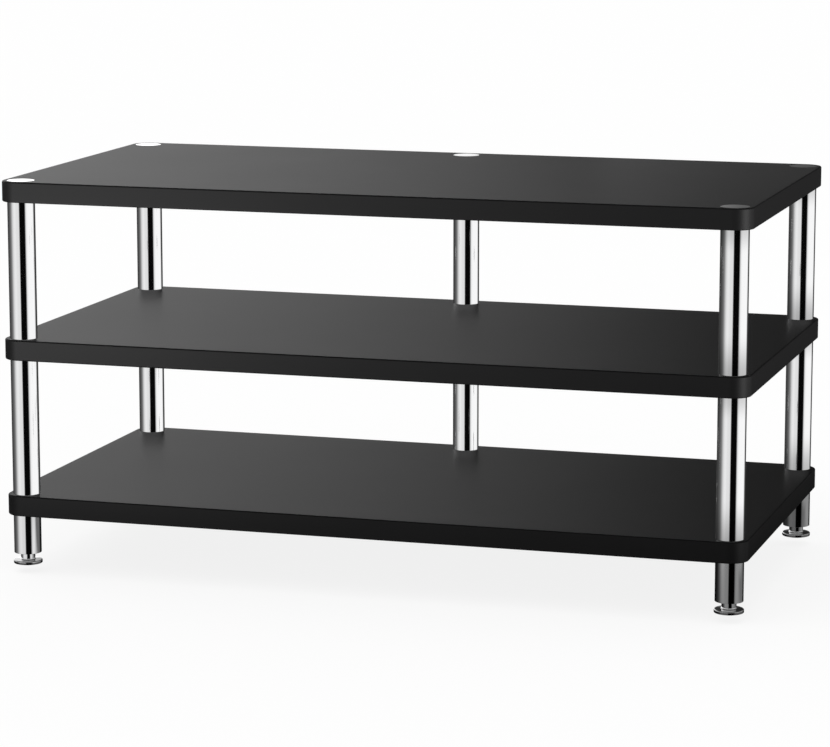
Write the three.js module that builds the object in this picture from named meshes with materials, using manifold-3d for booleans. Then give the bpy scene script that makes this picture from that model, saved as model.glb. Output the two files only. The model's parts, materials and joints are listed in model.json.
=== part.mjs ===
// Audio equipment rack: three lacquered shelves on polished tube columns and levelling feet.
// Units are millimetres. +Z is up, +X is to the right, and the front faces -Y.
// The origin is on the floor, under the middle of the shelves.

import * as THREE from "three";
import { mergeVertices } from "three/addons/utils/BufferGeometryUtils.js";
import Module from "manifold-3d";

// Shelf boards
const shelfWidth = 1100;
const shelfDepth = 560;
const shelfThickness = 30;
const shelfEdgeEase = 2;
const shelfMargin = 7;

// Heights between the boards, and under them
const upperClearHeight = 200;
const lowerClearHeight = 200;
const legLength = 58;
const footHeight = 17;

// Tubes, each with a threaded plug welded into both ends
const tubeRadius = 20;
const tubeWall = 1.5;
const plugThickness = 15;

// Studs that join the tubes through the boards
const studRadius = 5;
const studChamfer = 0.8;
const studEngagement = 14;
const boardHoleClearance = 0.5;

// Caps let into the top shelf
const capThickness = 3;
const capEdgeEase = 0.4;
const capSink = 0.2;

// Levelling feet
const footRadius = 21;
const footNeckRadius = 10.5;
const footNeckFillet = 1.2;
const footRimHeight = 3.6;
const footRimRound = 1.4;
const footSoleEase = 0.8;
const footTopRise = 0.4;
const footTravel = 12;
const footStudSpare = 3;
const footStudSocket = 8;

// Glides snapped into the feet
const glideRadius = 17;
const glideProud = 1;
const glideInset = 1.5;
const glideChamfer = 0.6;
const glideStemRadius = 3.5;
const glideStemLength = 3.5;

// Clearances
const seatGap = 0.3;
const runningGap = 0.5;
const cutOverrun = 5;

// Facets
const tubeSides = 32;
const cavitySides = 16;
const studSides = 12;
const footSides = 24;
const filletSteps = 3;
const roundSteps = 2;
const cornerSegments = 4;
const easeSegments = 2;

// Places that follow from the sizes above
const columnInset = tubeRadius + shelfMargin;
const columnX = shelfWidth / 2 - columnInset;
const columnY = shelfDepth / 2 - columnInset;
const threadHoleRadius = studRadius + seatGap;
const boardHoleRadius = studRadius + boardHoleClearance;
const capPocketDepth = capThickness + capSink;

const legBottom = footHeight;
const bottomShelfBottom = legBottom + legLength;
const lowerColumnBottom = bottomShelfBottom + shelfThickness;
const middleShelfBottom = lowerColumnBottom + lowerClearHeight;
const upperColumnBottom = middleShelfBottom + shelfThickness;
const topShelfBottom = upperColumnBottom + upperClearHeight;

const stations = [
  { name: "front_left", x: -columnX, y: -columnY },
  { name: "front_right", x: columnX, y: -columnY },
  { name: "back_left", x: -columnX, y: columnY },
  { name: "back_middle", x: 0, y: columnY },
  { name: "back_right", x: columnX, y: columnY },
];

const wasm = await Module();
wasm.setup();

// A closed geometry as a solid. Shared corners are merged, and the empty triangles
// that a lathe leaves on its axis are dropped.
function solid(geometry) {
  geometry.deleteAttribute("normal");
  geometry.deleteAttribute("uv");
  const merged = mergeVertices(geometry);
  const corners = merged.index.array;
  const triVerts = [];
  for (let i = 0; i < corners.length; i += 3) {
    const [a, b, c] = corners.slice(i, i + 3);
    if (a !== b && b !== c && c !== a) triVerts.push(a, b, c);
  }
  const vertProperties = merged.getAttribute("position").array;
  return new wasm.Manifold(
    new wasm.Mesh({ numProp: 3, vertProperties, triVerts: new Uint32Array(triVerts) }),
  );
}

// A solid as a geometry that can be shown.
function shown(shape) {
  const { vertProperties, triVerts } = shape.getMesh();
  const geometry = new THREE.BufferGeometry();
  geometry.setAttribute("position", new THREE.BufferAttribute(vertProperties, 3));
  geometry.setIndex(new THREE.BufferAttribute(triVerts, 1));
  const faceted = geometry.toNonIndexed();
  faceted.computeVertexNormals();
  return faceted;
}

// An upright round bar between two heights.
function bar(radius, bottom, top, sides) {
  const geometry = new THREE.CylinderGeometry(radius, radius, top - bottom, sides);
  geometry.rotateX(Math.PI / 2);
  geometry.translate(0, 0, (bottom + top) / 2);
  return solid(geometry);
}

// A turned piece from its profile of [radius, height] points, listed from the bottom up.
function turned(profile, sides) {
  const points = profile.map(([radius, height]) => new THREE.Vector2(radius, height));
  const geometry = new THREE.LatheGeometry(points, sides);
  geometry.rotateX(Math.PI / 2);
  return solid(geometry);
}

// Points of a profile round an arc, both ends included.
function arc(centreRadius, centreHeight, radius, fromAngle, toAngle, steps) {
  const points = [];
  for (let step = 0; step <= steps; step += 1) {
    const angle = fromAngle + ((toAngle - fromAngle) * step) / steps;
    points.push([
      centreRadius + radius * Math.cos(angle),
      centreHeight + radius * Math.sin(angle),
    ]);
  }
  return points;
}

// A board with corners round the columns' own centres, eased edges and a hole at each column.
function shelfBoard() {
  const outline = new THREE.Shape();
  outline.absarc(columnX, columnY, columnInset, 0, Math.PI / 2);
  outline.absarc(-columnX, columnY, columnInset, Math.PI / 2, Math.PI);
  outline.absarc(-columnX, -columnY, columnInset, Math.PI, (Math.PI * 3) / 2);
  outline.absarc(columnX, -columnY, columnInset, (Math.PI * 3) / 2, Math.PI * 2);
  const geometry = new THREE.ExtrudeGeometry(outline, {
    depth: shelfThickness - 2 * shelfEdgeEase,
    bevelEnabled: true,
    bevelThickness: shelfEdgeEase,
    bevelSize: shelfEdgeEase,
    bevelOffset: -shelfEdgeEase,
    bevelSegments: easeSegments,
    curveSegments: cornerSegments,
  });
  geometry.translate(0, 0, shelfEdgeEase);
  const hole = bar(boardHoleRadius, -cutOverrun, shelfThickness + cutOverrun, studSides);
  return atEachStation(solid(geometry), hole);
}

// The board of the top shelf, with a pocket for the cap over each column.
function cappedBoard() {
  const pocketFloor = shelfThickness - capPocketDepth;
  const pocket = bar(tubeRadius + seatGap, pocketFloor, shelfThickness + cutOverrun, tubeSides);
  return atEachStation(shelfBoard(), pocket);
}

// The board less one cutter at every column.
function atEachStation(board, cutter) {
  let cut = board;
  for (const { x, y } of stations) cut = cut.subtract(cutter.translate([x, y, 0]));
  return cut;
}

// A tube with its two threaded end plugs, which leave the middle hollow.
function pluggedTube(length) {
  const cavity = bar(tubeRadius - tubeWall, plugThickness, length - plugThickness, cavitySides);
  const thread = bar(threadHoleRadius, -cutOverrun, length + cutOverrun, studSides);
  return bar(tubeRadius, 0, length, tubeSides).subtract(cavity).subtract(thread);
}

// A threaded stud with chamfered ends, standing on zero.
function stud(length) {
  const endRadius = studRadius - studChamfer;
  const profile = [
    [0, 0],
    [endRadius, 0],
    [studRadius, studChamfer],
    [studRadius, length - studChamfer],
    [endRadius, length],
    [0, length],
  ];
  return turned(profile, studSides);
}

// A cap's disc and the stem under it, with zero at the underside of the disc.
function cap() {
  const stemLength = shelfThickness - capPocketDepth + studEngagement;
  const profile = [
    [0, 0],
    [tubeRadius - capEdgeEase, 0],
    [tubeRadius, capEdgeEase],
    [tubeRadius, capThickness - capEdgeEase],
    [tubeRadius - capEdgeEase, capThickness],
    [0, capThickness],
  ];
  const stem = bar(studRadius, -stemLength, capThickness / 2, studSides);
  return turned(profile, tubeSides).add(stem);
}

// A levelling foot: a plain neck that stands on a thin disc with a rounded rim.
// It is recessed underneath for the glide, and its neck takes the foot stud.
function foot() {
  const neckTop = footHeight - seatGap;
  const rimTop = glideProud + footRimHeight;
  const filletRadius = footNeckRadius + footNeckFillet;
  const filletHeight = rimTop + footRimRound + footTopRise;
  const recessTop = glideProud + glideInset;
  const stemHoleRadius = glideStemRadius + runningGap;
  const stemHoleTop = recessTop + glideStemLength + seatGap;
  const profile = [
    [0, stemHoleTop],
    [stemHoleRadius, stemHoleTop],
    [stemHoleRadius, recessTop],
    [glideRadius + runningGap, recessTop],
    [glideRadius + runningGap, glideProud],
    [footRadius - footSoleEase, glideProud],
    [footRadius, glideProud + footSoleEase],
    ...arc(footRadius - footRimRound, rimTop, footRimRound, 0, Math.PI / 2, roundSteps),
    ...arc(
      filletRadius, filletHeight + footNeckFillet, footNeckFillet,
      (Math.PI * 3) / 2, Math.PI, filletSteps,
    ),
    [footNeckRadius, neckTop],
    [threadHoleRadius, neckTop],
    [threadHoleRadius, neckTop - footStudSocket],
    [0, neckTop - footStudSocket],
  ];
  return turned(profile, footSides);
}

// The glide under a foot, with the stem that snaps up into it.
function glide() {
  const faceTop = glideProud + glideInset - seatGap;
  const stemTop = glideProud + glideInset + glideStemLength;
  const profile = [
    [0, 0],
    [glideRadius - glideChamfer, 0],
    [glideRadius, glideChamfer],
    [glideRadius, faceTop],
    [glideStemRadius, faceTop],
    [glideStemRadius, stemTop],
    [0, stemTop],
  ];
  return turned(profile, footSides);
}

const blackLacquer = { color: 0x1b1a1c, roughness: 0.38, metalness: 0 };
const polishedSteel = { color: 0xd8d8da, roughness: 0.08, metalness: 1 };
const zincPlate = { color: 0xa6a8ab, roughness: 0.4, metalness: 1 };
const blackNylon = { color: 0x161616, roughness: 0.7, metalness: 0 };

const rack = new THREE.Group();
rack.name = "audio_equipment_rack";

// Adds one named piece to the rack, standing at a place.
function place(name, shape, finish, x, y, z) {
  const piece = new THREE.Mesh(shown(shape), new THREE.MeshStandardMaterial(finish));
  piece.name = name;
  piece.position.set(x, y, z);
  rack.add(piece);
}

place("bottom_shelf", shelfBoard(), blackLacquer, 0, 0, bottomShelfBottom);
place("middle_shelf", shelfBoard(), blackLacquer, 0, 0, middleShelfBottom);
place("top_shelf", cappedBoard(), blackLacquer, 0, 0, topShelfBottom);

const upperColumn = pluggedTube(upperClearHeight);
const lowerColumn = pluggedTube(lowerClearHeight);
const leg = pluggedTube(legLength);
const boardStud = stud(shelfThickness + 2 * studEngagement);
const footStudEntry = plugThickness + footTravel + footStudSpare;
const footStudBottom = footHeight - footStudSocket;
const footStud = stud(footStudSocket + footStudEntry);
const capDisc = cap();
const footBody = foot();
const footGlide = glide();
const capSeat = topShelfBottom + shelfThickness - capPocketDepth;

for (const { name, x, y } of stations) {
  place(`${name}_cap`, capDisc, polishedSteel, x, y, capSeat);
  place(`${name}_upper_column`, upperColumn, polishedSteel, x, y, upperColumnBottom);
  place(`${name}_middle_stud`, boardStud, zincPlate, x, y, middleShelfBottom - studEngagement);
  place(`${name}_lower_column`, lowerColumn, polishedSteel, x, y, lowerColumnBottom);
  place(`${name}_bottom_stud`, boardStud, zincPlate, x, y, bottomShelfBottom - studEngagement);
  place(`${name}_leg`, leg, polishedSteel, x, y, legBottom);
  place(`${name}_foot_stud`, footStud, zincPlate, x, y, footStudBottom);
  place(`${name}_foot`, footBody, polishedSteel, x, y, 0);
  place(`${name}_foot_glide`, footGlide, blackNylon, x, y, 0);
}

export default rack;
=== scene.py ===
"""Dresses the audio equipment rack: three lacquered boards on polished tubes, in a white studio."""
import json
import math

import bmesh
import bpy
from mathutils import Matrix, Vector


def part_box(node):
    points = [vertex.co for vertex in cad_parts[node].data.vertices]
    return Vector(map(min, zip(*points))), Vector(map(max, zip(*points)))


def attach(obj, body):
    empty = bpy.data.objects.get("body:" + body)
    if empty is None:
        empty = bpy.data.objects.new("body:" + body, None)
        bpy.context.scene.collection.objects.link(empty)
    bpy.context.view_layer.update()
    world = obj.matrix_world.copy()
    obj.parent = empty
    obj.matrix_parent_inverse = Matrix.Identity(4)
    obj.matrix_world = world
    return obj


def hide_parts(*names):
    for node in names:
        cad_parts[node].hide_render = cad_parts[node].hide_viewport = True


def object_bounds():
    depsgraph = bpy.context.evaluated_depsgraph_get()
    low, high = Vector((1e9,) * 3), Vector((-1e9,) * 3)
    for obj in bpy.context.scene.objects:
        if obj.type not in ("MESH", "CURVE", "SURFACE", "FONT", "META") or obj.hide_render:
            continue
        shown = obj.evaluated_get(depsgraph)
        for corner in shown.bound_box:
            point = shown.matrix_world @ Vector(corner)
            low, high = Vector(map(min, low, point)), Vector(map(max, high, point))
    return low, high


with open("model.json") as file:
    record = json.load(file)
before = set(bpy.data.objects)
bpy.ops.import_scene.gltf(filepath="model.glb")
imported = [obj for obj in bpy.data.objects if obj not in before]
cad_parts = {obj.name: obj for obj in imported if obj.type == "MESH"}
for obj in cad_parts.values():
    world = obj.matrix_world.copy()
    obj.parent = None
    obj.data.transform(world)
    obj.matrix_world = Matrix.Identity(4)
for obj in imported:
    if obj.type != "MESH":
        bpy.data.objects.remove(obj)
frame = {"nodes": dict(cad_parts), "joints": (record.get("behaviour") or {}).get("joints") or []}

CAD_LOW, CAD_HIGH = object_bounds()

MM = 0.001
RACK_BODY = "rack"
STATIONS = ("front_left", "front_right", "back_left", "back_middle", "back_right")

# Boards
BOARD_EASE = 2.0 * MM
BOARD_CORNER_STEPS = 18
BOARD_HOLE_CLEARANCE = 0.5 * MM
CAP_POCKET_CLEARANCE = 0.3 * MM
HOLE_SIDES = 48

# Tubes and caps
TUBE_WALL = 1.5 * MM
TUBE_PLUG = 15.0 * MM
TUBE_END_EASE = 0.35 * MM
TUBE_SIDES = 128
THREAD_CLEARANCE = 0.3 * MM
CAP_THICKNESS = 3.0 * MM
CAP_EASE = 0.4 * MM

# Levelling feet
FOOT_NECK_RADIUS = 10.5 * MM
FOOT_NECK_FILLET = 1.2 * MM
FOOT_NECK_EASE = 0.4 * MM
FOOT_RIM_HEIGHT = 3.6 * MM
FOOT_RIM_ROUND = 1.4 * MM
FOOT_SOLE_EASE = 0.8 * MM
FOOT_TOP_RISE = 0.4 * MM
FOOT_STUD_SOCKET = 8.0 * MM
FOOT_SIDES = 112

# Glides under the feet
GLIDE_PROUD = 1.0 * MM
GLIDE_INSET = 1.5 * MM
GLIDE_EASE = 0.6 * MM
GLIDE_STEM_RADIUS = 3.5 * MM
GLIDE_RUNNING_GAP = 0.5 * MM
GLIDE_SEAT_GAP = 0.3 * MM

# Thread of the foot studs
THREAD_PITCH = 1.5 * MM
THREAD_DEPTH = 0.85 * MM
THREAD_SIDES = 32
THREAD_RINGS_PER_TURN = 8
STUD_CHAMFER = 0.8 * MM

# How much steeper its flanks are than a plain zigzag's, and the share of that which its root loses
THREAD_FLANK = 1.3
THREAD_ROOT_FLAT = 0.1

# Painted shade of the boards on the steel, which darkens its colour near them
FOOT_SHADE = 0.45
FOOT_SHADE_HEIGHT = 60.0 * MM
HEAD_SHADE = 0.30
HEAD_SHADE_HEIGHT = 35.0 * MM
SHADE_FROM_X = 0.0
SHADE_TO_X = 0.50

# Roundness of every piece
ROUND_STEPS = 5
SMOOTHEST_SHARP_EDGE = math.radians(32)

# Noise in the finishes: its detail in a fine grain and in larger clouds. Every scale of noise
# below is in features to the metre.
GRAIN_DETAIL = 2.0
CLOUD_DETAIL = 3.0

# Black lacquer
LACQUER_DARK = (0.0030, 0.0029, 0.0031, 1.0)
LACQUER_LIGHT = (0.0042, 0.0041, 0.0043, 1.0)
LACQUER_ROUGHNESS = 0.365
LACQUER_IOR = 1.24
MOTTLE_SCALE = 7.0
MOTTLE_ROUGHNESS = 0.015
EDGE_ROUGHNESS = 0.14
SPRAY_SCALE = 420.0
SPRAY_STRENGTH = 0.20
SPRAY_HEIGHT = 0.05 * MM

# Polished steel
STEEL_CLOUDED = (0.915, 0.918, 0.924, 1.0)
STEEL_CLEAR = (0.940, 0.942, 0.945, 1.0)
STEEL_ROUGHNESS = 0.035
CLOUD_SCALE = 16.0
CLOUD_ROUGHNESS = 0.035
LINE_SCALES = (30.0, 30.0, 900.0)
LINE_ROUGHNESS = 0.015
LINE_STRENGTH = 0.05
LINE_HEIGHT = 0.004 * MM

# Zinc plate
ZINC_BLUISH = (0.50, 0.52, 0.56, 1.0)
ZINC_PALE = (0.64, 0.64, 0.63, 1.0)
ZINC_ROUGHNESS = 0.24
PATCH_SCALE = 240.0
PATCH_ROUGHNESS = 0.16
PLATING_SCALE = 2600.0
PLATING_STRENGTH = 0.15
PLATING_HEIGHT = 0.01 * MM

# Black nylon
NYLON_DARK = (0.012, 0.012, 0.013, 1.0)
NYLON_WORN = (0.022, 0.022, 0.023, 1.0)
NYLON_ROUGHNESS = 0.66
WEAR_SCALE = 90.0
WEAR_SHINE = 0.18
MOULD_GRAIN_SCALE = 1500.0
MOULD_GRAIN_STRENGTH = 0.25
MOULD_GRAIN_HEIGHT = 0.03 * MM


# Meshes

def eased_corner(centre_radius, centre_height, radius, start, end, steps=ROUND_STEPS):
    """Points of a profile round an arc, both ends included, with its angles in degrees."""
    points = []
    for step in range(steps + 1):
        angle = math.radians(start + (end - start) * step / steps)
        points.append((
            centre_radius + radius * math.cos(angle),
            centre_height + radius * math.sin(angle),
        ))
    return points


def ring(mesh, centre, radius, height, sides):
    """A level ring of vertices, or the single vertex of a ring on its axis."""
    if radius == 0:
        return [mesh.verts.new((centre[0], centre[1], height))]
    turn = math.tau / sides
    return [
        mesh.verts.new((
            centre[0] + radius * math.cos(side * turn),
            centre[1] + radius * math.sin(side * turn),
            height,
        ))
        for side in range(sides)
    ]


def skin(mesh, lower, upper):
    """Faces between two rings of equal count, or between a ring and a point."""
    count = max(len(lower), len(upper))
    for side in range(count):
        following = (side + 1) % count
        corners = [lower[side % len(lower)], lower[following % len(lower)]]
        corners += [upper[following % len(upper)], upper[side % len(upper)]]
        mesh.faces.new(list(dict.fromkeys(corners)))


def turned(mesh, centre, base, profile, sides, closed=False):
    """A turned body from its profile of (radius, height) points, standing on a base height."""
    rings = [ring(mesh, centre, radius, base + height, sides) for radius, height in profile]
    for lower, upper in zip(rings, rings[1:]):
        skin(mesh, lower, upper)
    if closed:
        skin(mesh, rings[-1], rings[0])


def piece(name, mesh, body, material, node, mirrored=False):
    """Turns a finished mesh into a smooth-shaded piece that rides on a body and stands for a node.
    Few pieces are mirrored by others: more would clutter the steel with dark lines."""
    bmesh.ops.recalc_face_normals(mesh, faces=mesh.faces)
    data = bpy.data.meshes.new(name)
    mesh.to_mesh(data)
    mesh.free()
    data.polygons.foreach_set("use_smooth", [True] * len(data.polygons))
    data.set_sharp_from_angle(angle=SMOOTHEST_SHARP_EDGE)
    data.materials.append(material)
    made = bpy.data.objects.new(name, data)
    bpy.context.scene.collection.objects.link(made)
    normals = made.modifiers.new("even_normals", "WEIGHTED_NORMAL")
    normals.keep_sharp = True
    made.visible_glossy = mirrored
    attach(made, body)
    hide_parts(node)
    return made


# Shader trees

# The Mix node has sockets of one name for each kind of data, so the ones for colours go by place
MIX_SHARE = 0
MIX_FIRST_COLOUR = 6
MIX_SECOND_COLOUR = 7
MIX_COLOUR = 2


class Number:
    """A number inside a node tree, so that its maths reads as plain Python."""

    def __init__(self, tree, socket):
        self.tree = tree
        self.socket = socket

    def __add__(self, other):
        return self.tree.maths("ADD", self, other)

    def __radd__(self, other):
        return self.tree.maths("ADD", other, self)

    def __sub__(self, other):
        return self.tree.maths("SUBTRACT", self, other)

    def __rsub__(self, other):
        return self.tree.maths("SUBTRACT", other, self)

    def __mul__(self, other):
        return self.tree.maths("MULTIPLY", self, other)

    def __rmul__(self, other):
        return self.tree.maths("MULTIPLY", other, self)

    def __truediv__(self, other):
        return self.tree.maths("DIVIDE", self, other)

    def __neg__(self):
        return self.tree.maths("MULTIPLY", self, -1.0)


class Tree:
    """The nodes of a material or of the world."""

    def __init__(self, owner):
        owner.use_nodes = True
        self.nodes = owner.node_tree.nodes
        self.links = owner.node_tree.links
        self.nodes.clear()

    def node(self, kind, settings=None, sockets=None):
        """A node of one kind, with its settings made first and then its sockets set or linked."""
        made = self.nodes.new(kind)
        for key, value in (settings or {}).items():
            if key == "stops":
                self.set_stops(made.color_ramp.elements, value)
            else:
                setattr(made, key, value)
        for key, value in (sockets or {}).items():
            if isinstance(value, Number):
                value = value.socket
            if isinstance(value, bpy.types.NodeSocket):
                self.links.new(value, made.inputs[key])
            else:
                made.inputs[key].default_value = value
        return made

    def set_stops(self, elements, stops):
        """Gives a ramp its grey stops, each a (position, brightness) pair."""
        while len(elements) < len(stops):
            elements.new(1.0)
        for element, (position, brightness) in zip(elements, stops):
            element.position = position
            element.color = grey(brightness)

    def number(self, kind, output, settings=None, sockets=None):
        """One output of a new node, as a Number."""
        return Number(self, self.node(kind, settings, sockets).outputs[output])

    def maths(self, operation, *values):
        """A Math node on one value or two, in their order."""
        sockets = dict(enumerate(values))
        return self.number("ShaderNodeMath", "Value", {"operation": operation}, sockets)

    def parts(self, vector):
        """The X, Y and Z of a place or a direction."""
        outputs = self.node("ShaderNodeSeparateXYZ", None, {"Vector": vector}).outputs
        return [Number(self, outputs[name]) for name in "XYZ"]

    def noise(self, place, scale, detail):
        """Soft noise between 0 and 1."""
        sockets = {"Vector": place, "Scale": scale, "Detail": detail}
        return self.number("ShaderNodeTexNoise", "Fac", None, sockets)

    def stretched(self, place, scales):
        """A place with a scale of its own along X, Y and Z."""
        made = self.node("ShaderNodeVectorMath", {"operation": "MULTIPLY"}, {0: place, 1: scales})
        return made.outputs["Vector"]

    def blend(self, share, first, second):
        """A colour between two others."""
        sockets = {MIX_SHARE: share, MIX_FIRST_COLOUR: first, MIX_SECOND_COLOUR: second}
        return self.node("ShaderNodeMix", {"data_type": "RGBA"}, sockets).outputs[MIX_COLOUR]


def grey(brightness):
    """An even grey as a colour."""
    return (brightness, brightness, brightness, 1.0)


BLACK = grey(0.0)
WHITE = grey(1.0)


def between(share, first, second):
    """A number between two others."""
    return first + (second - first) * share


def smooth_step(tree, value, start, end):
    """Rises smoothly from 0 at the start to 1 at the end."""
    settings = {"interpolation_type": "SMOOTHSTEP"}
    sockets = {"Value": value, "From Min": start, "From Max": end}
    return tree.number("ShaderNodeMapRange", "Result", settings, sockets)


def finish_of(name):
    """A new material with its tree and the place of each point on the object."""
    material = bpy.data.materials.new(name)
    tree = Tree(material)
    place = tree.node("ShaderNodeTexCoord").outputs["Object"]
    return material, tree, place


def surface(tree, sockets):
    """Ends a material's tree in a Principled shader."""
    shader = tree.node("ShaderNodeBsdfPrincipled", None, sockets)
    tree.node("ShaderNodeOutputMaterial", None, {"Surface": shader.outputs[0]})


def mixed_shader(tree, share, first, second):
    """A shader between two others, which go by place as their sockets share one name."""
    sockets = {0: share, 1: first.outputs[0], 2: second.outputs[0]}
    return tree.node("ShaderNodeMixShader", None, sockets)


def bump(tree, height, strength, distance):
    """A normal that follows a height."""
    sockets = {"Height": height, "Strength": strength, "Distance": distance}
    return tree.node("ShaderNodeBump", None, sockets).outputs["Normal"]


def black_lacquer():
    """Satin black lacquer: faint mottling, a sprayed texture, and edges a little duller than faces."""
    material, tree, place = finish_of("black_lacquer")
    mottle = tree.noise(place, MOTTLE_SCALE, CLOUD_DETAIL)
    sprayed = tree.noise(place, SPRAY_SCALE, GRAIN_DETAIL)
    _, _, upward = tree.parts(tree.node("ShaderNodeNewGeometry").outputs["True Normal"])
    edge = 1.0 - tree.maths("ABSOLUTE", upward)
    surface(tree, {
        "Base Color": tree.blend(mottle, LACQUER_DARK, LACQUER_LIGHT),
        "Roughness": LACQUER_ROUGHNESS + MOTTLE_ROUGHNESS * mottle + EDGE_ROUGHNESS * edge,
        "IOR": LACQUER_IOR,
        "Normal": bump(tree, sprayed, SPRAY_STRENGTH, SPRAY_HEIGHT),
    })
    return material


def painted_shade_in_bay(tree, height, lower_shelf, upper_shelf):
    """How much painted shade two boards put on the steel between them, at its foot and at its head."""
    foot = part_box(lower_shelf)[1].z
    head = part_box(upper_shelf)[0].z
    at_foot = 1.0 - smooth_step(tree, height, foot, foot + FOOT_SHADE_HEIGHT)
    at_head = smooth_step(tree, height, head - HEAD_SHADE_HEIGHT, head)
    inside = tree.maths("GREATER_THAN", height, foot) * tree.maths("LESS_THAN", height, head)
    return tree.maths("MAXIMUM", at_foot * FOOT_SHADE, at_head * HEAD_SHADE) * inside


def painted_shade_by_boards(tree, place):
    """How much painted shade the black boards put on the steel close to them, mostly at the right of
    the rack.
    """
    x, _, height = tree.parts(place)
    lower_bay = painted_shade_in_bay(tree, height, "bottom_shelf", "middle_shelf")
    upper_bay = painted_shade_in_bay(tree, height, "middle_shelf", "top_shelf")
    return (lower_bay + upper_bay) * smooth_step(tree, x, SHADE_FROM_X, SHADE_TO_X)


def polished_steel():
    """Bright polished stainless steel, with the hair-fine lines that the polishing belt leaves, and
    painted shade that darkens its colour near the boards.
    """
    material, tree, place = finish_of("polished_steel")
    lines = tree.noise(tree.stretched(place, LINE_SCALES), 1.0, CLOUD_DETAIL)
    clouding = tree.noise(place, CLOUD_SCALE, CLOUD_DETAIL)
    bright = tree.blend(clouding, STEEL_CLOUDED, STEEL_CLEAR)
    surface(tree, {
        # The colour darkens towards black near the boards: painted shade
        "Base Color": tree.blend(painted_shade_by_boards(tree, place), bright, BLACK),
        "Metallic": 1.0,
        "Roughness": STEEL_ROUGHNESS + CLOUD_ROUGHNESS * clouding + LINE_ROUGHNESS * lines,
        "Normal": bump(tree, lines, LINE_STRENGTH, LINE_HEIGHT),
    })
    return material


def zinc_plated_steel():
    """Zinc plate on a rolled thread: dull bright metal with a faint uneven bluish cast."""
    material, tree, place = finish_of("zinc_plated_steel")
    patches = tree.noise(place, PATCH_SCALE, CLOUD_DETAIL)
    plating = tree.noise(place, PLATING_SCALE, GRAIN_DETAIL)
    surface(tree, {
        "Base Color": tree.blend(patches, ZINC_BLUISH, ZINC_PALE),
        "Metallic": 1.0,
        "Roughness": ZINC_ROUGHNESS + PATCH_ROUGHNESS * patches,
        "Normal": bump(tree, plating, PLATING_STRENGTH, PLATING_HEIGHT),
    })
    return material


def black_nylon():
    """Moulded black nylon with a fine matt grain, a little shinier where it has rubbed."""
    material, tree, place = finish_of("black_nylon")
    grain = tree.noise(place, MOULD_GRAIN_SCALE, GRAIN_DETAIL)
    worn = tree.noise(place, WEAR_SCALE, CLOUD_DETAIL)
    surface(tree, {
        "Base Color": tree.blend(worn, NYLON_DARK, NYLON_WORN),
        "Roughness": NYLON_ROUGHNESS - WEAR_SHINE * worn,
        "Normal": bump(tree, grain, MOULD_GRAIN_STRENGTH, MOULD_GRAIN_HEIGHT),
    })
    return material


LACQUER = black_lacquer()
STEEL = polished_steel()
ZINC = zinc_plated_steel()
NYLON = black_nylon()


# Sizes that the frame gives

def axis_of(station):
    """Where the upright axis of a station stands, as x and y."""
    low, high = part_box(f"{station}_leg")
    return (low.x + high.x) / 2, (low.y + high.y) / 2


def radius_of(node):
    """The radius of an upright round node."""
    low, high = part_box(node)
    return (high.x - low.x) / 2


TUBE_RADIUS = radius_of("front_right_upper_column")
CAP_RADIUS = radius_of("front_right_cap")
STUD_RADIUS = radius_of("front_right_foot_stud")
FOOT_RADIUS = radius_of("front_right_foot")
GLIDE_RADIUS = radius_of("front_right_foot_glide")
THREAD_HOLE_RADIUS = STUD_RADIUS + THREAD_CLEARANCE
BOARD_HOLE_RADIUS = STUD_RADIUS + BOARD_HOLE_CLEARANCE
CAP_POCKET_RADIUS = CAP_RADIUS + CAP_POCKET_CLEARANCE
BOARD_CORNER_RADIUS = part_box("top_shelf")[1].x - axis_of("front_right")[0]


# Groups of pieces that some of the lights are kept for
LACQUERED = bpy.data.collections.new("lacquered")
UPPERMOST = bpy.data.collections.new("uppermost")
CAPS = bpy.data.collections.new("caps")


# Boards

def board_outline(low, high, inset):
    """The outline of a board drawn in by an inset, as x and y pairs anticlockwise."""
    radius = BOARD_CORNER_RADIUS - inset
    right = high.x - BOARD_CORNER_RADIUS
    left = low.x + BOARD_CORNER_RADIUS
    back = high.y - BOARD_CORNER_RADIUS
    front = low.y + BOARD_CORNER_RADIUS
    points = []
    for quarter, (x, y) in enumerate(((right, back), (left, back), (left, front), (right, front))):
        for step in range(BOARD_CORNER_STEPS + 1):
            angle = (quarter + step / BOARD_CORNER_STEPS) * math.pi / 2
            points.append((x + radius * math.cos(angle), y + radius * math.sin(angle)))
    return points


def board_rings(mesh, low, high):
    """The rings of a board's edge from its underside to its upper face, eased at both."""
    lower_ease = eased_corner(-BOARD_EASE, BOARD_EASE, BOARD_EASE, -90, 0)
    upper_ease = eased_corner(-BOARD_EASE, high.z - low.z - BOARD_EASE, BOARD_EASE, 0, 90)
    rings = []
    for outward, height in lower_ease + upper_ease:
        outline = board_outline(low, high, -outward)
        rings.append([mesh.verts.new((x, y, low.z + height)) for x, y in outline])
    return rings


def loop_edges(mesh, loop):
    """The edges round a closed loop of vertices."""
    return [mesh.edges.get((a, b)) for a, b in zip(loop, loop[1:] + loop[:1])]


def drilled_hole(mesh, centre, bottom, top, pocket_floor):
    """The wall of a through hole, with a wider pocket above its floor, as its lowest and top loops."""
    if pocket_floor is None:
        steps = [(BOARD_HOLE_RADIUS, bottom), (BOARD_HOLE_RADIUS, top)]
    else:
        steps = [
            (BOARD_HOLE_RADIUS, bottom),
            (BOARD_HOLE_RADIUS, pocket_floor),
            (CAP_POCKET_RADIUS, pocket_floor),
            (CAP_POCKET_RADIUS, top),
        ]
    rings = [ring(mesh, centre, radius, height, HOLE_SIDES) for radius, height in steps]
    for lower, upper in zip(rings, rings[1:]):
        skin(mesh, lower, upper)
    return rings[0], rings[-1]


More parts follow.
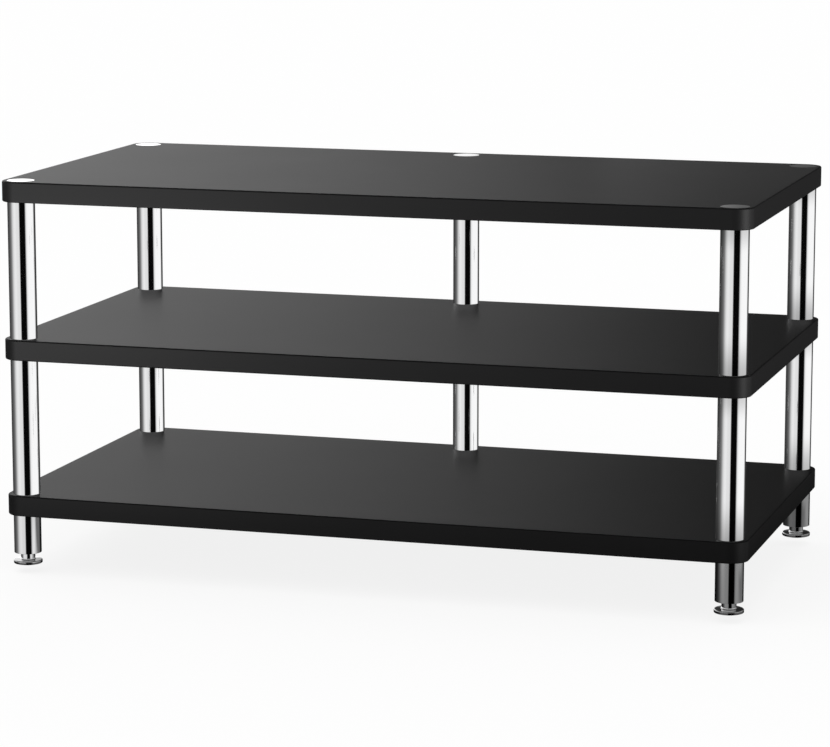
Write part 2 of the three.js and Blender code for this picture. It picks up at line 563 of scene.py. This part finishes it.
def shelf_board(node, name, capped=False):
    """A lacquered board with round corners, eased edges and a hole at every column."""
    low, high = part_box(node)
    mesh = bmesh.new()
    rings = board_rings(mesh, low, high)
    for lower, upper in zip(rings, rings[1:]):
        skin(mesh, lower, upper)
    under_loops, upper_loops = [rings[0]], [rings[-1]]
    for station in STATIONS:
        pocket_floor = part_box(f"{station}_cap")[1].z - CAP_THICKNESS if capped else None
        lowest, highest = drilled_hole(mesh, axis_of(station), low.z, high.z, pocket_floor)
        under_loops.append(lowest)
        upper_loops.append(highest)
    for loops in (under_loops, upper_loops):
        edges = [edge for loop in loops for edge in loop_edges(mesh, loop)]
        bmesh.ops.triangle_fill(mesh, use_beauty=True, edges=edges)
    board = piece(name, mesh, RACK_BODY, LACQUER, node)
    LACQUERED.objects.link(board)
    if capped:
        UPPERMOST.objects.link(board)


shelf_board("bottom_shelf", "bottom_board")
shelf_board("middle_shelf", "middle_board")
shelf_board("top_shelf", "top_board", capped=True)


# Tubes, caps and feet at each station

def plugged_tube(node, name, station):
    """A polished tube, and the threaded plugs that are welded into its ends. Only the lower plug
    is mirrored, as satin lacquer shows no more of a column than its foot."""
    low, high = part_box(node)
    length = high.z - low.z
    bore = TUBE_RADIUS - TUBE_WALL
    pipe = [
        (bore, 0.0),
        *eased_corner(TUBE_RADIUS - TUBE_END_EASE, TUBE_END_EASE, TUBE_END_EASE, -90, 0),
        *eased_corner(TUBE_RADIUS - TUBE_END_EASE, length - TUBE_END_EASE, TUBE_END_EASE, 0, 90),
        (bore, length),
    ]
    mesh = bmesh.new()
    turned(mesh, axis_of(station), low.z, pipe, TUBE_SIDES, closed=True)
    piece(name, mesh, RACK_BODY, STEEL, node)
    plug = [
        (THREAD_HOLE_RADIUS, 0.0),
        (bore, 0.0),
        (bore, TUBE_PLUG),
        (THREAD_HOLE_RADIUS, TUBE_PLUG),
    ]
    for end, base, mirrored in (("lower", low.z, True), ("upper", high.z - TUBE_PLUG, False)):
        mesh = bmesh.new()
        turned(mesh, axis_of(station), base, plug, TUBE_SIDES, closed=True)
        piece(f"{name}_{end}_plug", mesh, RACK_BODY, STEEL, node, mirrored)


def cap(station):
    """A bright disc let into the top board, with its stem down into the column."""
    node = f"{station}_cap"
    low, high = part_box(node)
    top = high.z - low.z
    disc = top - CAP_THICKNESS
    profile = [
        (0.0, 0.0),
        (STUD_RADIUS, 0.0),
        (STUD_RADIUS, disc),
        *eased_corner(CAP_RADIUS - CAP_EASE, disc + CAP_EASE, CAP_EASE, -90, 0),
        *eased_corner(CAP_RADIUS - CAP_EASE, top - CAP_EASE, CAP_EASE, 0, 90),
        (0.0, top),
    ]
    mesh = bmesh.new()
    turned(mesh, axis_of(station), low.z, profile, TUBE_SIDES)
    CAPS.objects.link(piece(f"{station}_cap_disc", mesh, RACK_BODY, STEEL, node))


def levelling_foot(station):
    """A turned foot: a plain neck on a thin disc with a rounded rim, hollowed for its glide."""
    node = f"{station}_foot"
    low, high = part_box(node)
    neck_top = high.z - low.z
    neck_ease_radius = FOOT_NECK_RADIUS - FOOT_NECK_EASE
    fillet_radius = FOOT_NECK_RADIUS + FOOT_NECK_FILLET
    fillet_height = FOOT_RIM_HEIGHT + FOOT_RIM_ROUND + FOOT_TOP_RISE + FOOT_NECK_FILLET
    recess_radius = GLIDE_RADIUS + GLIDE_RUNNING_GAP
    stem_hole_radius = GLIDE_STEM_RADIUS + GLIDE_RUNNING_GAP
    glide_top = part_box(f"{station}_foot_glide")[1].z
    stem_hole_top = glide_top + GLIDE_SEAT_GAP - low.z
    profile = [
        (0.0, stem_hole_top),
        (stem_hole_radius, stem_hole_top),
        (stem_hole_radius, GLIDE_INSET),
        (recess_radius, GLIDE_INSET),
        (recess_radius, 0.0),
        *eased_corner(FOOT_RADIUS - FOOT_SOLE_EASE, FOOT_SOLE_EASE, FOOT_SOLE_EASE, -90, 0),
        *eased_corner(FOOT_RADIUS - FOOT_RIM_ROUND, FOOT_RIM_HEIGHT, FOOT_RIM_ROUND, 0, 90),
        *eased_corner(fillet_radius, fillet_height, FOOT_NECK_FILLET, 270, 180),
        *eased_corner(neck_ease_radius, neck_top - FOOT_NECK_EASE, FOOT_NECK_EASE, 0, 90),
        (THREAD_HOLE_RADIUS, neck_top),
        (THREAD_HOLE_RADIUS, neck_top - FOOT_STUD_SOCKET),
        (0.0, neck_top - FOOT_STUD_SOCKET),
    ]
    mesh = bmesh.new()
    turned(mesh, axis_of(station), low.z, profile, FOOT_SIDES)
    body = f"{station}_screw_foot"
    piece(f"{station}_turned_foot", mesh, body, STEEL, node, mirrored=True)


def thread_crest(turns):
    """How far a thread stands out of its root, from 0 to 1, at a number of turns."""
    rise = 1.0 - abs(2.0 * (turns % 1.0) - 1.0)
    return min(1.0, max(0.0, rise * THREAD_FLANK - THREAD_ROOT_FLAT))


def threaded_stud(station):
    """The foot's stud with its real screw thread, which shows when the foot is screwed out."""
    node = f"{station}_foot_stud"
    low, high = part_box(node)
    length = high.z - low.z
    centre_x, centre_y = axis_of(station)
    step_height = THREAD_PITCH / THREAD_RINGS_PER_TURN
    steps = round(length / step_height)
    mesh = bmesh.new()
    rings = [[mesh.verts.new((centre_x, centre_y, low.z))]]
    for step in range(steps + 1):
        height = length * step / steps
        from_end = min(height, length - height)
        widest = STUD_RADIUS - max(0.0, STUD_CHAMFER - from_end)
        loop = []
        for side in range(THREAD_SIDES):
            turn = side / THREAD_SIDES
            crest = thread_crest(height / THREAD_PITCH - turn)
            radius = min(widest, STUD_RADIUS - THREAD_DEPTH * (1.0 - crest))
            angle = turn * math.tau
            x = centre_x + radius * math.cos(angle)
            y = centre_y + radius * math.sin(angle)
            loop.append(mesh.verts.new((x, y, low.z + height)))
        rings.append(loop)
    rings.append([mesh.verts.new((centre_x, centre_y, high.z))])
    for lower, upper in zip(rings, rings[1:]):
        skin(mesh, lower, upper)
    body = f"{station}_screw_foot"
    piece(f"{station}_threaded_stud", mesh, body, ZINC, node)


def floor_glide(station):
    """The nylon glide that stands on the floor, with the stem that snaps up into the foot."""
    node = f"{station}_foot_glide"
    low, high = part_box(node)
    face_top = GLIDE_PROUD + GLIDE_INSET - GLIDE_SEAT_GAP
    stem_top = high.z - low.z
    profile = [
        (0.0, 0.0),
        *eased_corner(GLIDE_RADIUS - GLIDE_EASE, GLIDE_EASE, GLIDE_EASE, -90, 0),
        (GLIDE_RADIUS, face_top),
        (GLIDE_STEM_RADIUS, face_top),
        (GLIDE_STEM_RADIUS, stem_top),
        (0.0, stem_top),
    ]
    mesh = bmesh.new()
    turned(mesh, axis_of(station), low.z, profile, FOOT_SIDES)
    piece(f"{station}_floor_glide", mesh, f"{station}_glide_body", NYLON, node)


def joining_studs(station):
    """The studs that join the tubes through two boards keep their CAD mesh, in zinc plate."""
    for name in (f"{station}_middle_stud", f"{station}_bottom_stud"):
        stud = frame["nodes"][name]
        stud.data.materials.clear()
        stud.data.materials.append(ZINC)
        stud.visible_glossy = False


for station in STATIONS:
    plugged_tube(f"{station}_upper_column", f"{station}_upper_tube", station)
    plugged_tube(f"{station}_lower_column", f"{station}_lower_tube", station)
    plugged_tube(f"{station}_leg", f"{station}_leg_tube", station)
    cap(station)
    levelling_foot(station)
    threaded_stud(station)
    floor_glide(station)
    joining_studs(station)


# Camera, with its angles in radians and its lens and sensor in millimetres

CAMERA_PLACE = (1.4239, -4.7311, 1.1341)
CAMERA_PITCH = 0.17388
CAMERA_TURN = 0.29354
CAMERA_LENS = 146.83
SENSOR_WIDTH = 36.0


def camera():
    """The camera at the photograph's place and angle."""
    lens = bpy.data.cameras.new("photograph_lens")
    lens.lens = CAMERA_LENS
    lens.sensor_width = SENSOR_WIDTH
    made = bpy.data.objects.new("photograph_camera", lens)
    made.location = CAMERA_PLACE
    made.rotation_euler = (math.pi / 2 - CAMERA_PITCH, 0.0, CAMERA_TURN)
    bpy.context.scene.collection.objects.link(made)
    bpy.context.scene.camera = made


camera()


# Studio

# The floor lies as far below the rack as the feet can be screwed out, so that it never hides them
FOOT_TRAVEL = max(joint["range_m"][1] for joint in frame["joints"] if joint["type"] == "slide")
FLOOR_SIZE = 80.0
FLOOR_COLOUR = 0.97

# How far the floor's own white hides its shadow from the camera, from 0 to 1
FLOOR_EVENNESS = 0.86

# The even light of the room, and the soft light overhead
AMBIENT_LIGHT = 0.62
OVERHEAD_LIGHT = 1.2
OVERHEAD_SOFTNESS = math.radians(70)
OVERHEAD_SLANT = (math.radians(12), math.radians(-14), 0.0)

# Brightness of the ground as steel mirrors it, all painted shade and light: close by, under the rack,
# and out in the open
GROUND_CONTACT = 0.10
GROUND_UNDER_RACK = 0.14
GROUND_AT_LEFT = 0.90
GROUND_AT_RIGHT = 0.26

# How long a mirrored ray is when it meets ground in painted contact shade, ground by the rack, or none
CONTACT_WITHIN = 0.073
CONTACT_CLEAR_FROM = 0.100
GROUND_SHADE_WITHIN = 0.395
GROUND_CLEAR_FROM = 0.575

# Where the painted shade under the rack ends
SHADE_EDGE = 0.07
SHADE_REACH_RIGHT = 0.30

# Heights of the room's parts in reflections, each the sine of an angle above the horizon
HORIZON_BLUR = 0.02
SKY_LOW_TO = math.sin(math.radians(5.5))
SKY_HIGH_FROM = math.sin(math.radians(12.5))
STEEP_FROM = math.sin(math.radians(22))
STEEP_TO = math.sin(math.radians(38))

# How bright the low sky is at its brightest, and everything that is steep overhead
SKY_BRIGHTEST = 1.78
STEEP_BRIGHTNESS = 0.06

# What upright polished surfaces mirror round the studio, as (bearing, brightness).
# A bearing is in degrees, 0 in front of the rack and 90 to its right.
WALLS = (
    (-180, 0.09),
    (-150, 0.05),
    (-119, 0.045),
    (-101, 0.08),
    (-87, 0.12),
    (-74, 0.22),
    (-63, 0.47),
    (-53, 0.72),
    (-43, 0.84),
    (-34, 0.88),
    (-20, 0.80),
    (1, 0.78),
    (7, 0.002),
    (51, 0.002),
    (57, 0.55),
    (63, 0.88),
    (78, 1.0),
    (134, 1.0),
    (147, 0.06),
    (180, 0.02),
)

# What level surfaces mirror just above the horizon, as (bearing, share of the sky's brightest)
LOW_SKY = (
    (-180, 0.05),
    (-169, 0.045),
    (-163.8, 0.60),
    (-160, 0.90),
    (-155, 1.0),
    (-110, 0.60),
    (-60, 0.34),
    (60, 0.34),
    (140, 0.20),
    (170, 0.05),
    (180, 0.05),
)

# What they mirror higher up, in the same way
HIGH_SKY = (
    (-180, 0.01),
    (-167.5, 0.01),
    (-163, 0.07),
    (-159, 0.17),
    (-155, 0.45),
    (-110, 0.30),
    (-60, 0.16),
    (60, 0.16),
    (140, 0.08),
    (170, 0.01),
    (180, 0.01),
)


def round_the_room(tree, bearing, stops):
    """The brightness at a bearing, from stops that are given in degrees."""
    shares = [((degrees + 180.0) / 360.0, brightness) for degrees, brightness in stops]
    return tree.node("ShaderNodeValToRGB", {"stops": shares}, {"Fac": bearing}).outputs["Color"]


def studio_world():
    """A white room: white behind the rack, even light on it, and dark cards in its reflections."""
    world = bpy.data.worlds.new("white_studio")
    bpy.context.scene.world = world
    tree = Tree(world)
    x, y, z = tree.parts(tree.node("ShaderNodeTexCoord").outputs["Generated"])
    bearing = tree.maths("ARCTAN2", x, -y) / math.tau + 0.5
    above = smooth_step(tree, z, -HORIZON_BLUR, HORIZON_BLUR)
    steep = smooth_step(tree, z, STEEP_FROM, STEEP_TO)
    walls = round_the_room(tree, bearing, WALLS)
    low_sky = round_the_room(tree, bearing, LOW_SKY)
    high_sky = round_the_room(tree, bearing, HIGH_SKY)
    share = tree.blend(smooth_step(tree, z, SKY_LOW_TO, SKY_HIGH_FROM), low_sky, high_sky)
    sky = tree.blend(share, BLACK, grey(SKY_BRIGHTEST))
    mirrored = tree.blend(steep, tree.blend(above, walls, sky), grey(STEEP_BRIGHTNESS))
    ray = tree.node("ShaderNodeLightPath").outputs
    is_mirrored = Number(tree, ray["Is Glossy Ray"]) + Number(tree, ray["Is Transmission Ray"])
    lit = tree.blend(is_mirrored, grey(AMBIENT_LIGHT), mirrored)
    shown = tree.blend(ray["Is Camera Ray"], lit, WHITE)
    background = tree.node("ShaderNodeBackground", None, {"Color": shown, "Strength": 1.0})
    tree.node("ShaderNodeOutputWorld", None, {"Surface": background.outputs[0]})


def painted_ground_near_rack(tree):
    """How bright the ground by the rack is in its steel, as painted light and shade: bright at the
    left, in shade underneath.
    """
    x, y, _ = tree.parts(tree.node("ShaderNodeTexCoord").outputs["Object"])
    left = CAD_LOW[0] + BOARD_CORNER_RADIUS
    right = CAD_HIGH[0] - BOARD_CORNER_RADIUS
    depth = CAD_HIGH[1] - BOARD_CORNER_RADIUS
    reach = right + SHADE_REACH_RIGHT
    beyond_left = 1.0 - smooth_step(tree, x, left - SHADE_EDGE, left + SHADE_EDGE)
    beyond_right = smooth_step(tree, x, reach - SHADE_EDGE, reach + SHADE_EDGE)
    off_middle = tree.maths("ABSOLUTE", y)
    beyond_depth = smooth_step(tree, off_middle, depth - SHADE_EDGE, depth + SHADE_EDGE)
    outside = tree.maths("MAXIMUM", tree.maths("MAXIMUM", beyond_left, beyond_right), beyond_depth)
    open_ground = between(smooth_step(tree, x, left, right), GROUND_AT_LEFT, GROUND_AT_RIGHT)
    return between(outside, GROUND_UNDER_RACK, open_ground)


def studio_floor():
    """A plain pale floor that stays white to the camera and still takes the rack's soft shadow.
    Steel close to it mirrors ground with painted shade and light, and steel further up mirrors the
    walls of the room."""
    material = bpy.data.materials.new("pale_floor")
    tree = Tree(material)
    matt = tree.node("ShaderNodeBsdfDiffuse", None, {"Color": grey(FLOOR_COLOUR)})
    white = tree.node("ShaderNodeEmission", None, {"Color": WHITE, "Strength": 1.0})
    ray = tree.node("ShaderNodeLightPath").outputs
    off_contact = smooth_step(tree, ray["Ray Length"], CONTACT_WITHIN, CONTACT_CLEAR_FROM)
    away = smooth_step(tree, ray["Ray Length"], GROUND_SHADE_WITHIN, GROUND_CLEAR_FROM)
    near = between(off_contact, GROUND_CONTACT, painted_ground_near_rack(tree))
    # A dark sheet that mirrored rays meet near the rack, as painted shade of the ground
    dark = tree.node("ShaderNodeEmission", None, {"Color": BLACK, "Strength": 0.0})
    clear = tree.node("ShaderNodeBsdfTransparent", None, {"Color": WHITE})
    seen = mixed_shader(tree, Number(tree, ray["Is Camera Ray"]) * FLOOR_EVENNESS, matt, white)
    mirrored = mixed_shader(tree, between(away, near, 1.0), dark, clear)
    both = mixed_shader(tree, ray["Is Glossy Ray"], seen, mirrored)
    tree.node("ShaderNodeOutputMaterial", None, {"Surface": both.outputs[0]})
    mesh = bmesh.new()
    bmesh.ops.create_grid(mesh, x_segments=1, y_segments=1, size=FLOOR_SIZE / 2)
    data = bpy.data.meshes.new("studio_floor")
    mesh.to_mesh(data)
    mesh.free()
    data.materials.append(material)
    made = bpy.data.objects.new("studio_floor", data)
    made.location.z = CAD_LOW[2] - FOOT_TRAVEL
    bpy.context.scene.collection.objects.link(made)


def overhead_light():
    """A very wide soft light from above, a little to the front left."""
    lamp = bpy.data.lights.new("overhead_softbox", "SUN")
    lamp.energy = OVERHEAD_LIGHT
    lamp.angle = OVERHEAD_SOFTNESS
    made = bpy.data.objects.new("overhead_softbox", lamp)
    made.rotation_euler = OVERHEAD_SLANT
    bpy.context.scene.collection.objects.link(made)
    made.visible_glossy = False


UP = (0.0, 0.0, 1.0)
DOWN = (0.0, 0.0, -1.0)

# A ceiling that the caps alone mirror, to a camera high above them
CEILING_HEIGHT = 2.6
CEILING_SIZE = 4.0
CEILING_POWER = 45.0

# Light off the pale floor at the sides, which only the lacquer takes. It comes from lower than the
# upper face of every board, so that it shows on their edges and no face mirrors it from any side.
GLOW_HEIGHT = 0.01
LEFT_GLOW_PLACE = (-1.09, -1.605, GLOW_HEIGHT)
LEFT_GLOW_SIZE = 0.6
LEFT_GLOW_POWER = 67.0
RIGHT_GLOW_PLACE = (2.56, -0.85, GLOW_HEIGHT)
RIGHT_GLOW_SIZE = 1.2
RIGHT_GLOW_POWER = 200.0

# A softbox behind the rack, a little higher than the top board, which is all that it lights
BACK_BOX_SIZE = 0.5
BACK_BOX_PLACE = (0.24, 1.20, 0.70)
BACK_BOX_AIM = (0.45, 0.0, CAD_HIGH[2])
BACK_BOX_TOWARDS = Vector(BACK_BOX_AIM) - Vector(BACK_BOX_PLACE)
BACK_BOX_POWER = 0.095


def square_light(name, size, power, place, towards, receivers):
    """A square light that shines in one direction, and only on some of the rack's pieces."""
    lamp = bpy.data.lights.new(name, "AREA")
    lamp.size = size
    lamp.energy = power
    made = bpy.data.objects.new(name, lamp)
    made.location = place
    made.rotation_euler = Vector(towards).to_track_quat("-Z", "Y").to_euler()
    bpy.context.scene.collection.objects.link(made)
    made.visible_camera = False
    made.light_linking.receiver_collection = receivers


studio_world()
studio_floor()
overhead_light()
square_light("white_ceiling", CEILING_SIZE, CEILING_POWER, (0.0, 0.0, CEILING_HEIGHT), DOWN, CAPS)
square_light("left_glow", LEFT_GLOW_SIZE, LEFT_GLOW_POWER, LEFT_GLOW_PLACE, UP, LACQUERED)
square_light("right_glow", RIGHT_GLOW_SIZE, RIGHT_GLOW_POWER, RIGHT_GLOW_PLACE, UP, LACQUERED)
square_light("back_box", BACK_BOX_SIZE, BACK_BOX_POWER, BACK_BOX_PLACE, BACK_BOX_TOWARDS, UPPERMOST)

bpy.context.scene.view_settings.view_transform = "Standard"
